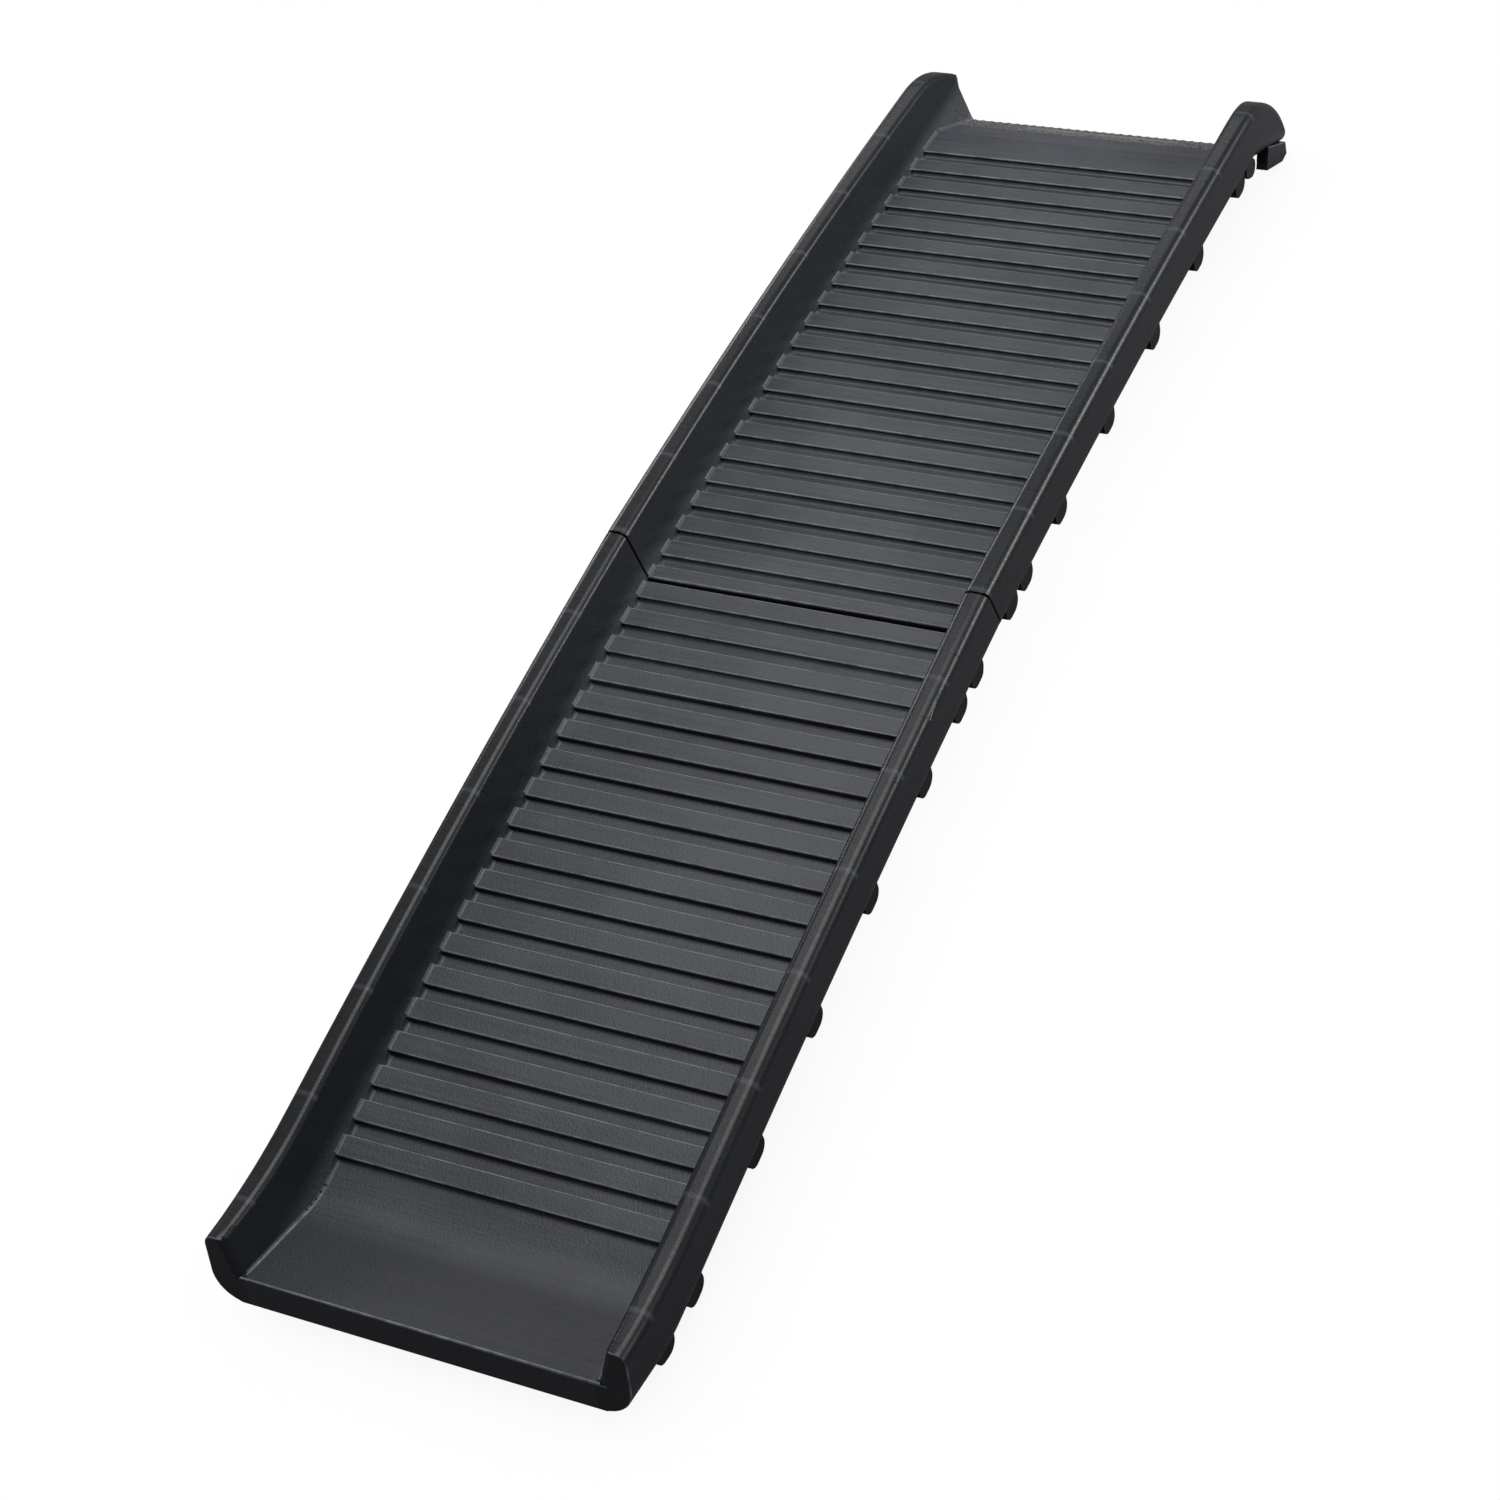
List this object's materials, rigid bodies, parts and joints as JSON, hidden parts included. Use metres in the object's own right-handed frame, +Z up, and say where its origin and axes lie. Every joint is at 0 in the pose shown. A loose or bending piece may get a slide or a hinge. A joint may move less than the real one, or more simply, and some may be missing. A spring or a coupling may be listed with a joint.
{
  "type": "dog ramp",
  "caption": "Folding dog ramp of two hollow ribbed plastic halves with raised side rails, cross slats and hinged middle, lying open.",
  "frame": {"origin": "centre of the open ramp's bounding box, on the floor", "axes": "+X across the ramp, +Y along it from the foot landing to the top landing, +Z up"},
  "size_m": [0.38, 1.6101, 0.1462],
  "materials": {
    "moulding": "fine-grained black polyolefin moulding",
    "rubber": "matt black rubber",
    "steel": "zinc-plated steel"
  },
  "bodies": {
    "lower": {"lower_half": "moulding", "hinge_pin_left": "steel", "hinge_washers_left": "steel", "hinge_clip_left": "steel", "lower_foot_left": "rubber", "lower_foot_screws_left": "steel", "hinge_pin_right": "steel", "hinge_washers_right": "steel", "hinge_clip_right": "steel", "lower_foot_right": "rubber", "lower_foot_screws_right": "steel"},
    "upper": {"upper_half": "moulding", "upper_pad_left": "rubber", "upper_pad_screws_left": "steel", "upper_pad_right": "rubber", "upper_pad_screws_right": "steel"}
  },
  "joints": [
    {"name": "fold", "type": "hinge", "parent": "lower", "child": "upper", "pos_m": [0, -0.01775, 0.06371], "axis": [-1, 0, 0], "range_deg": [0, 170]}
  ]
}
